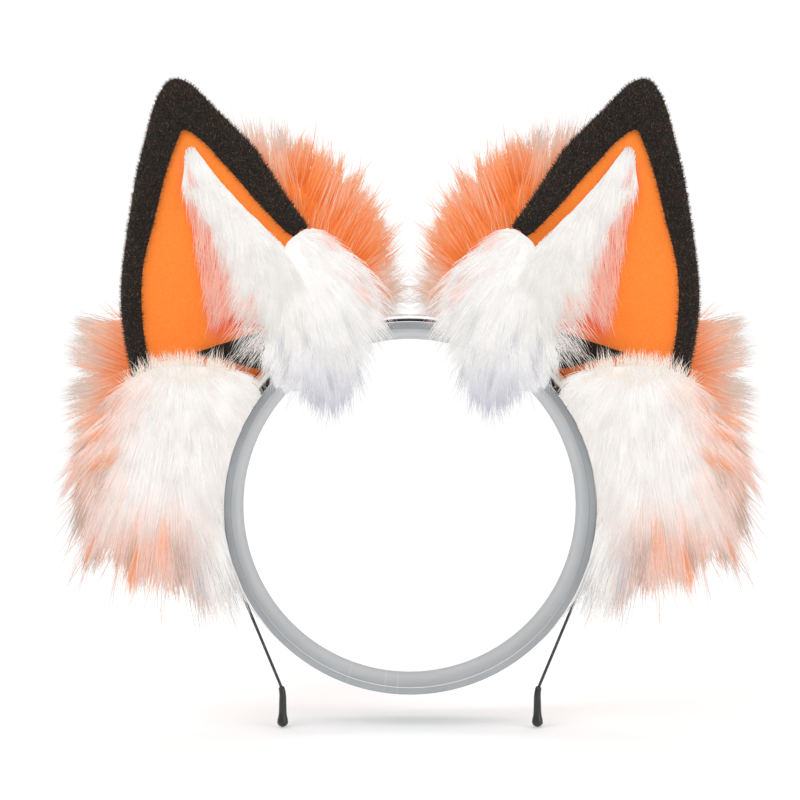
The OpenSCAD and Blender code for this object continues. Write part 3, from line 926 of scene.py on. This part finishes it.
def growFringe(hair):  # coral hair between the tuft and the plush
    def keep(p, n):
        across, along = earOf(p[:, 0], p[:, 2])
        inside = (sideOf(fringeEdge, across, along) > 0.5) * (sideOf(tuftLeft, across, along) < 1.5)
        return inside * (n[:, 1] < 0) * (along > 30) * ease(84, 64, along)

    rng, roots, normals = startCoat(earLining, hair, hair["seed"], keep)
    across, along = earOf(roots[:, 0], roots[:, 2])
    flow = hangAt(np.radians(4 - 20 * ease(70, 30, along)), -0.05)
    path, t, lock, stray = combHair(hair, roots, normals, flow, rng, 1 - 0.35 * ease(45, 30, along))
    return sewCoat("fringeFur_left", hair, rng, path, t, lock, rng.random(len(path)) ** 2)


overSpot = {
    "count": 150, "length": (10, 17), "lift": 0.3, "sag": 0.0, "shake": 0.1, "lockShake": 0.1, "locks": 60,
    "gather": 0.3, "hold": 0.4, "uneven": 0.15, "stray": 0.1, "bow": 0.04, "vary": 0.05,
    "width": (0.16, 0.24), "seed": 67,
    "across": (-3, 11), "along": (12, 26), "depth": -5.6, "turn": (-42, -22),
    "plain": [white, white, cream], "tipped": [cream, greyTip, greyTip],
}


def growOverSpot(hair):  # loose white hairs that lie slanting over the black spot
    rng = np.random.default_rng(hair["seed"])
    total = hair["count"]
    across, along = rng.uniform(*hair["across"], total), rng.uniform(*hair["along"], total)
    across = np.maximum(across, rng.uniform(*hair["across"], total))
    roots = onEar(across, along, hair["depth"] + 0 * across)
    normals = np.tile([0.0, -1.0, 0.0], (total, 1))
    flow = hangAt(np.radians(rng.uniform(*hair["turn"], total)), -0.06)
    path, t, lock, stray = combHair(hair, roots, normals, flow, rng)
    return sewCoat("overSpot_left", hair, rng, path, t, lock, rng.random(len(path)) ** 2)


backFur = {
    "count": 9000, "length": (21, 31), "lift": 0.34, "sag": 0.0, "shake": 0.1, "lockShake": 0.13, "locks": 300,
    "gather": 0.62, "hold": 0.68, "uneven": 0.17, "stray": 0.08, "bow": 0.04, "vary": 0.05,
    "width": (0.24, 0.4), "stopAt": -0.5,
    "outer": {
        "seed": 37, "centre": (-92, 45), "from": (-84, 50), "fromBehind": (-62, 76),
        "outline": [(0, 22), (60, 20), (90, 20), (102, 26), (116, 36), (138, 44), (150, 39), (165, 42), (182, 44),
                    (204, 40), (217, 49), (230, 50), (250, 50), (290, 40)],
    },
    "inner": {
        "seed": 38, "centre": (-45, 80), "from": (-42, 66), "fromBehind": (-60, 40),
        "outline": [(180, 55), (120, 66), (108, 65), (100, 61), (90, 64), (79, 59), (68, 53), (59, 52), (44, 45),
                    (33, 45), (19, 43.5), (7, 43), (-8, 40), (-30, 40), (-90, 50)],
    },
    "plain": [orangeCoat, shade(255, 142, 70), shade(255, 150, 84), shade(255, 164, 108), shade(255, 186, 148)],
    "tipped": [orangeCoat, shade(255, 158, 98), shade(255, 190, 154), shade(252, 220, 204), shade(234, 220, 212)],
    "peach": shade(255, 196, 166), "grey": shade(226, 208, 198),
}
earBehind = {"depth": 6.4, "margin": 2, "widest": 60, "foot": 8, "top": 116}


def behindEar(path):  # what the ear hides stays behind its back
    across, along = earOf(path[:, :, 0], path[:, :, 2])
    flat = np.clip(across, -earBehind["widest"], earBehind["widest"])
    behind = ear["cupDepth"] - ear["cupRadius"] + np.sqrt((ear["cupRadius"] + earBehind["depth"]) ** 2 - flat**2)
    left = np.interp(along, leftEdge[:, 1], leftEdge[:, 0]) - earBehind["margin"]
    right = np.interp(along, rightEdge[:, 1], rightEdge[:, 0]) + earBehind["margin"]
    hidden = (across > left) * (across < right) * (along > earBehind["foot"]) * (along < earBehind["top"])
    path[:, :, 1] = np.where(hidden, np.maximum(path[:, :, 1], behind), path[:, :, 1])
    return path


def growBack(name, hair, half):
    inside = half is hair["inner"]

    def keep(p, n):
        side = ease(-74, -62, p[:, 0] + (p[:, 2] - 60) * 0.3)
        side = side if inside else (1 - side) * (0.35 * ease(70, 58, p[:, 2]) + 0.65)
        return side * np.where(n[:, 1] < -0.75, 0.2, 1.0) * np.where(n[:, 1] > 0.6, 0.6, 1.0)

    rng, roots, normals = startCoat(made["backPad"], hair, half["seed"], keep)
    rear = ease(0.1, 0.6, normals[:, 1])[:, None]
    flow = unit(awayFrom(roots, half["from"], 0.05) * (1 - rear) + awayFrom(roots, half["fromBehind"], 0.1) * rear)
    reach = 0.85
    if not inside:
        flow[:, 2] -= 1.3 * ease(56, 74, roots[:, 2])
        flow = unit(flow)
        reach = 1 - 0.3 * ease(54, 72, roots[:, 2])
    combed, t, lock, stray = combHair(hair, roots, normals, flow, rng, reach)
    path = trim(combed, lock, stray, rng, half["centre"], half["outline"])
    if not inside:  # hair that starts behind the ear keeps its length
        path = np.where(((roots[:, 2] > 62) & (roots[:, 0] > -90))[:, None, None], combed, path)
    path = clearOfHoop(path, hoopSpace["back"])
    path[:, :, 0] = np.minimum(path[:, :, 0], hair["stopAt"])
    path = behindEar(path)
    tips = path[:, -1]
    if inside:
        pale = np.maximum(ease(121, 138, tips[:, 2]) * ease(-37, -52, tips[:, 0]),
                          0.9 * ease(-24, -6, tips[:, 0]) * ease(102, 82, tips[:, 2]))
    else:
        pale = ease(-105, -127, tips[:, 0])
    mask = pale + rng.normal(size=len(path)) * 0.14
    accents = [(hair["peach"], 0.18, 1 + 0 * pale), (hair["grey"], 0.25, pale)]
    return sewCoat(name, hair, rng, path, t, lock, mask, accents, "fur_orange")


wisps = {
    "count": 900, "length": (14, 24), "lift": 0.2, "sag": 0.15, "shake": 0.25, "lockShake": 0.2, "locks": 160,
    "gather": 0.6, "hold": 0.4, "uneven": 0.25, "stray": 0.1, "bow": 0.08, "vary": 0.05,
    "width": (0.22, 0.32), "seed": 77,
    "stopAt": 2.5, "plain": [shade(246, 222, 210), shade(250, 230, 220), shade(248, 236, 228)],
}


def growWisps(hair):  # pale hair that fills the gap between the two ears
    def keep(p, n):
        return (p[:, 0] > -30) * (p[:, 2] < 84) * (p[:, 1] > 20) * 1.0

    rng, roots, normals = startCoat(made["backPad"], hair, hair["seed"], keep)
    flow = unit(np.tile([1.0, 0.0, 0.1], (len(roots), 1)) + rng.normal(size=(len(roots), 3)) * 0.4)
    path, t, lock, stray = combHair(hair, roots, normals, flow, rng)
    path = clearOfHoop(path, hoopSpace["back"])
    path[:, :, 0] = np.minimum(path[:, :, 0], hair["stopAt"])
    return sewCoat("wisps_left", hair, rng, path, t, lock, np.zeros(len(path)))


pile = {"length": (0.9, 1.7), "width": (0.22, 0.34), "seed": 91, "sunk": 0.15, "ruffle": 0.35,
        "dark": shade(14, 10, 8), "light": shade(160, 122, 86)}
piles = {  # base, number of hairs, lean, where they stand
    "edgePile": (earEdge, 3000, (0, 0, 0.5), lambda p, n: np.where(np.abs(n[:, 1]) < 0.8, 1.0, 0.1)),
    "rimPile": (earRim, 7000, (0, -0.1, 0.5), lambda p, n: np.where(n[:, 1] < 0.3, 1.0, 0.0)),
    "backPile": (earBack, 3500, (0, 0.1, 0.5), lambda p, n: (n[:, 1] > 0.2) * (p[:, 2] > 60) * 1.0),
    "spotPile": (earSpot, 900, (-0.3, -0.1, -0.9), lambda p, n: (n[:, 1] < -0.2) * 1.0),
}


def growPile(name):
    base, count, lean, keep = piles[name]
    rng = np.random.default_rng(pile["seed"] + count)
    roots, normals = rootsOn(base, count, rng, keep)
    length = rng.uniform(*pile["length"], count)
    way = unit(normals + np.array(lean) + rng.normal(size=(count, 3)) * pile["ruffle"])
    path = np.stack([roots - normals * pile["sunk"], roots + way * length[:, None]], axis=1)
    brightness = rng.random(count) ** 3.4  # only a few catch the light
    colour = pile["dark"] + (pile["light"] - pile["dark"]) * brightness[:, None]
    width = rng.uniform(*pile["width"], count)
    return buildHair(name + "_left", path, width, np.repeat(colour[:, None], 2, axis=1), blackPile, "plush_black")


pieces = {
    "cheekFur": (growCheek(cheekFur), "cheek_fur"),
    "cheekHem": (growHem(cheekHem), None),
    "crownFur": (growCrown(crownFur), "crown_fur"),
    "backFur": (growBack("backFur_left", backFur, backFur["outer"]), "back_fur"),
    "innerBackFur": (growBack("innerBackFur_left", backFur, backFur["inner"]), None),
    "tuftFur": (growTuft(tuftFur), "ear_tuft"),
    "fringeFur": (growFringe(fringeFur), None),
    "overSpot": (growOverSpot(overSpot), None),
    "wisps": (growWisps(wisps), None),
    **{name: (growPile(name), None) for name in piles},
    "earLining": (earLining, "ear_lining"),
    "earBack": (earBack, "ear_back"),
    "earRim": (earRim, "ear_rim"),
    "earEdge": (earEdge, None),
    "earSpot": (earSpot, "ear_spot"),
    "cheekPad": (made["cheekPad"], "cheek_stuffing"),
    "crownPad": (made["crownPad"], "crown_stuffing"),
    "backPad": (made["backPad"], "back_stuffing"),
}
for name, (piece, node) in pieces.items():
    twin = mirrored(piece, name + "_right")
    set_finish(twin, piece["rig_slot"])
    for side, half in (("left", piece), ("right", twin)):
        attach(half, "ear_" + side)
        if node:
            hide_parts(node + "_" + side)
print("fur made:", {name: len(piece.data.polygons) for name, (piece, node) in pieces.items()})


# Band, caps, stitches and hoop

band = {"radius": 67.5, "wire": 0.52, "legAngle": 23, "legLength": 40, "bend": 12, "end": 5, "blend": (92, 98)}


def bandPoints():
    lean = math.radians(band["legAngle"])
    arc = [(band["radius"] * math.cos(a), band["radius"] * math.sin(a))
           for a in np.linspace(math.pi / 2, math.radians(180 + band["legAngle"]), 90)]
    way = np.array([math.sin(lean), -math.cos(lean)])
    foot = np.array(arc[-1]) + way * band["legLength"]
    centre = foot - band["bend"] * np.array([math.cos(lean), math.sin(lean)])
    turn = [centre + band["bend"] * np.array([math.cos(a), math.sin(a)]) for a in np.linspace(lean, 0, 8)]
    leg = [np.array(arc[-1]) + way * s for s in np.linspace(2, band["legLength"] - 2, 10)]
    end = [turn[-1] + np.array([0, -s]) for s in (2, band["end"])]
    flat = np.array([*arc, *leg, *turn, *end])
    return np.stack([flat[:, 0], 0 * flat[:, 0], flat[:, 1]], axis=1)


def addWire(name, points, radius, sides, swell=None):
    deselect()
    bpy.ops.curve.primitive_nurbs_path_add()
    line = bpy.context.object
    line.name = name
    line.data.splines.clear()
    run = line.data.splines.new("POLY")
    run.points.add(len(points) - 1)
    for k, p in enumerate(points * mm):
        run.points[k].co = (*p, 1)
        run.points[k].radius = 1 if swell is None else swell[k]
    line.data.bevel_depth = radius * mm
    line.data.bevel_resolution = sides
    line.data.use_fill_caps = True
    pick(line)
    bpy.ops.object.convert(target="MESH")
    wire = bpy.context.object
    wire.name = name
    mergeAndTurnOut(wire)
    smoothShade(wire)
    return wire


bandLine = bandPoints()
bandWire = addWire("bandWire_left", bandLine, band["wire"], 4)
dress(bandWire, wireCoat, "spring_wire")
otherWire = mirrored(bandWire, "bandWire_right")
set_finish(otherWire, "spring_wire")

cap = {
    "rows": 26, "top": -63.4, "neck": -75.5, "foot": -78.5,
    "shape": [(0, 0.35), (0.02, 0.95), (0.06, 1.1), (0.3, 1.3), (0.55, 1.38), (0.7, 1.5), (0.8, 1.85), (0.88, 2.02),
              (0.94, 1.8), (0.98, 1.1), (1, 0.2)],
}
capLine = bandLine[bandLine[:, 2] < cap["top"]]
capX = capLine[-1, 0]
capLine = smoothLine(np.vstack([capLine[:-1], [[capX, 0, cap["neck"]], [capX, 0, cap["foot"]]]]), cap["rows"])
capRadius = np.interp(np.linspace(0, 1, cap["rows"]), *np.array(cap["shape"]).T)
endCap = addWire("endCap_left", capLine, 1, 5, capRadius)
dress(endCap, rubberSkin, "cap_rubber")
otherCap = mirrored(endCap, "endCap_right")
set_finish(otherCap, "cap_rubber")

stitch = {"from": 127, "to": 168, "count": 17, "reach": 1.05, "thread": 0.2,
          "even": {"shift": -0.3, "slope": -12}, "odd": {"shift": 0.5, "slope": 16}}
deselect()
bpy.ops.mesh.primitive_torus_add(major_segments=14, minor_segments=6, major_radius=stitch["reach"] * mm,
                                 minor_radius=stitch["thread"] * mm, location=(0, 0, 0))
firstStitch = bpy.context.object
ring = readPoints(firstStitch) / mm
stitches = []
for k, degrees in enumerate(np.linspace(stitch["from"], stitch["to"], stitch["count"])):
    kind = stitch["odd" if k % 2 else "even"]
    a, slope = math.radians(degrees + kind["shift"]), math.radians(kind["slope"])
    outward = np.array([math.cos(a), 0, math.sin(a)])
    onward = np.array([-math.sin(a), 0, math.cos(a)])
    sideways = np.array([0, 1.0, 0])
    first = outward * math.cos(slope) + onward * math.sin(slope)
    third = np.cross(first, sideways)
    loop = addCopy(firstStitch, "stitch")
    turned = ring[:, :1] * first + ring[:, 1:2] * sideways + ring[:, 2:] * third
    writePoints(loop, (outward * band["radius"] + turned) * mm)
    stitches.append(loop)
bpy.data.objects.remove(firstStitch)
deselect()
for loop in stitches:
    loop.select_set(True)
bpy.context.view_layer.objects.active = stitches[0]
bpy.ops.object.join()
threads = bpy.context.object
threads.name = "threads_left"
mergeAndTurnOut(threads, 0.0000001)
smoothShade(threads)
dress(threads, sewingCord, "cord")
otherThreads = mirrored(threads, "threads_right")
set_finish(otherThreads, "cord")

for side, capPiece, threadPiece in (("left", endCap, threads), ("right", otherCap, otherThreads)):
    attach(capPiece, "band_" + side)
    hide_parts("tip_cap_" + side)
    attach(threadPiece, "slider_" + side)
for side, sign, wire in (("left", -1, bandWire), ("right", 1, otherWire)):
    a, b = (math.radians(degrees) for degrees in band["blend"])
    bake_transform(wire)
    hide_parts("band_wire_" + side, *(["crown_wire"] if side == "left" else []))
    for node, material in (("felt_strip_", feltWool), ("wire_loops_", sewingCord), ("seam_cord_", sewingCord),
                           ("ear_core_", foamCell), ("ear_armature_", drawnSteel)):
        cover(nodes[node + side], material)

hoop = {"outer": 66.6, "wall": 3.6, "lip": 64.2, "bore": 62.5, "front": -3, "width": 30, "edge": 0.6, "sides": 192}
deselect()
bpy.ops.mesh.primitive_cylinder_add(vertices=hoop["sides"], radius=hoop["outer"] * mm, depth=hoop["width"] * mm,
                                    end_fill_type="NOTHING", location=(0, 0, 0))
hoopRing = bpy.context.object
hoopRing.name = "hoopRing"
co = readPoints(hoopRing)
writePoints(hoopRing, np.stack([co[:, 0], co[:, 2] + (hoop["front"] + hoop["width"] / 2) * mm, -co[:, 1]], axis=1))
mergeAndTurnOut(hoopRing)
finishWith(hoopRing, "SOLIDIFY", thickness=hoop["wall"] * mm, offset=-1)
co = readPoints(hoopRing)
radius = np.hypot(co[:, 0], co[:, 2])
inner = np.where(co[:, 1] < 0, hoop["lip"], hoop["bore"]) * mm  # the wall is thicker at the back
scale = np.where(radius < (hoop["outer"] - 1) * mm, inner / radius, 1)
writePoints(hoopRing, co * np.stack([scale, np.ones_like(scale), scale], axis=1))
finishWith(hoopRing, "BEVEL", width=hoop["edge"] * mm, segments=3, limit_method="ANGLE",
           angle_limit=math.radians(40))
smoothShade(hoopRing)
dress(hoopRing, milkyPlastic, "hoop_plastic")
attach(hoopRing, "hoop")
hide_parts("hoop")
cover(nodes["hoop_splice"], milkyPlastic)
print("band and hoop made")


# Camera, light and floor

view = {"lens": 68.75, "place": (-0.0036, -0.55, 0.02), "tilt": 91.93, "near": 0.01, "far": 20}
camera = bpy.data.cameras.new("camera")
camera.lens = view["lens"]
camera.clip_start, camera.clip_end = view["near"], view["far"]
cameraObject = bpy.data.objects.new("camera", camera)
bpy.context.scene.collection.objects.link(cameraObject)
cameraObject.location = view["place"]
cameraObject.rotation_euler = (math.radians(view["tilt"]), 0, 0)
bpy.context.scene.camera = cameraObject

studio = {
    "aim": (0, 0, 0.03), "world": 0.6,
    "lamps": {
        "key": {"place": (-0.7, -0.9, 0.9), "power": 7.2, "size": 0.9},
        "fill": {"place": (0.9, -0.8, 0.4), "power": 4.0, "size": 0.9},
        "top": {"place": (0.0, 0.3, 1.1), "power": 2.6, "size": 0.8},
    },
}
for name, settings in studio["lamps"].items():
    lamp = bpy.data.lights.new(name, "AREA")
    lamp.energy, lamp.size = settings["power"], settings["size"]
    lampObject = bpy.data.objects.new(name, lamp)
    bpy.context.scene.collection.objects.link(lampObject)
    lampObject.location = settings["place"]
    way = Vector(np.array(studio["aim"]) - np.array(settings["place"]))
    lampObject.rotation_euler = way.to_track_quat("-Z", "Y").to_euler()

world = bpy.data.worlds.new("world")
bpy.context.scene.world = world
world.use_nodes = True
world.node_tree.nodes["Background"].inputs["Color"].default_value = (1, 1, 1, 1)
world.node_tree.nodes["Background"].inputs["Strength"].default_value = studio["world"]

sweep = {"rows": 60, "gap": 0.0002, "length": 5.0, "halfWidth": 4, "start": -1.4, "bendAt": 2.2, "bendRadius": 0.6}
floorLevel = cadBox[0].z - sweep["gap"]
deselect()
bpy.ops.mesh.primitive_grid_add(x_subdivisions=4, y_subdivisions=sweep["rows"], size=2, location=(0, 0, 0))
floor = bpy.context.object
floor.name = "floor"
co = readPoints(floor)
run = (co[:, 1] + 1) / 2 * sweep["length"]
bend = sweep["bendRadius"]
turned = np.clip((run - sweep["bendAt"]) / bend, 0, math.pi / 2)
rise = np.maximum(run - sweep["bendAt"] - bend * math.pi / 2, 0)
writePoints(floor, np.stack([
    co[:, 0] * sweep["halfWidth"], np.minimum(run, sweep["bendAt"]) + sweep["start"] + bend * np.sin(turned),
    floorLevel + bend * (1 - np.cos(turned)) + rise], axis=1))
smoothShade(floor)
floor.data.materials.append(newMaterial("paper", 0.9, Base_Color=(0.9, 0.9, 0.9, 1), Emission_Color=(1, 1, 1, 1),
                                        Emission_Strength=0.2)[0])

bpy.context.scene.view_settings.view_transform = "Standard"
print("camera, light and floor made")
